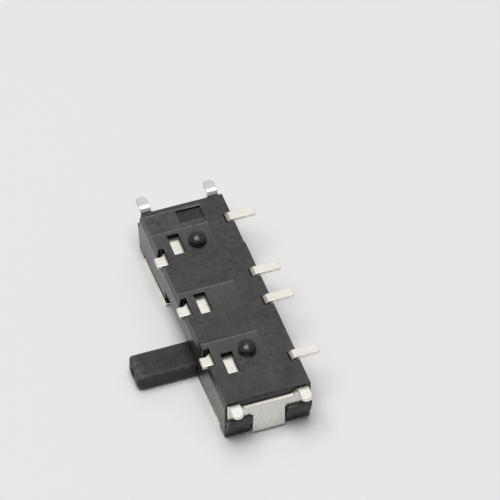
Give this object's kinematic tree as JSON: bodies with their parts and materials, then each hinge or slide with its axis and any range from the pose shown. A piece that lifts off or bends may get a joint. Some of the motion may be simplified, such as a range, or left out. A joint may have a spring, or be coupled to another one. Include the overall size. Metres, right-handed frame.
{
  "type": "slide switch",
  "caption": "Miniature surface-mount slide switch with a moulded housing, a snapped-on steel cover with grounding feet, gull terminals along one side and a sliding side knob.",
  "frame": {"origin": "middle of the housing on the outer face of the metal cover, the face on which the switch lies with its mounting face up", "axes": "+X along the housing, towards the knob's rest position; the knob points to -Y and the terminals to +Y; +Z from the cover to the mounting face with its pegs"},
  "size_m": [0.012, 0.0068, 0.0025],
  "materials": {
    "housing": "glass-filled black moulding, matte",
    "cover": "thin tin-plated sheet steel, satin, bare at the cut edges",
    "terminals": "bright plated copper alloy",
    "slider": "black moulding, matte with worn edges",
    "clip": "thin spring bronze",
    "spring": "thin spring steel"
  },
  "bodies": {
    "base": {"housing": "housing", "cover": "cover", "terminal_1": "terminals", "terminal_2": "terminals", "terminal_3": "terminals", "terminal_4": "terminals"},
    "slider_group": {"slider": "slider", "contact_clip": "clip", "detent_spring": "spring"}
  },
  "joints": [
    {"name": "slider_travel", "type": "slide", "parent": "base", "child": "slider_group", "axis": [-1, 0, 0], "range_m": [0, 0.0025], "deforming": ["detent_spring"]}
  ]
}
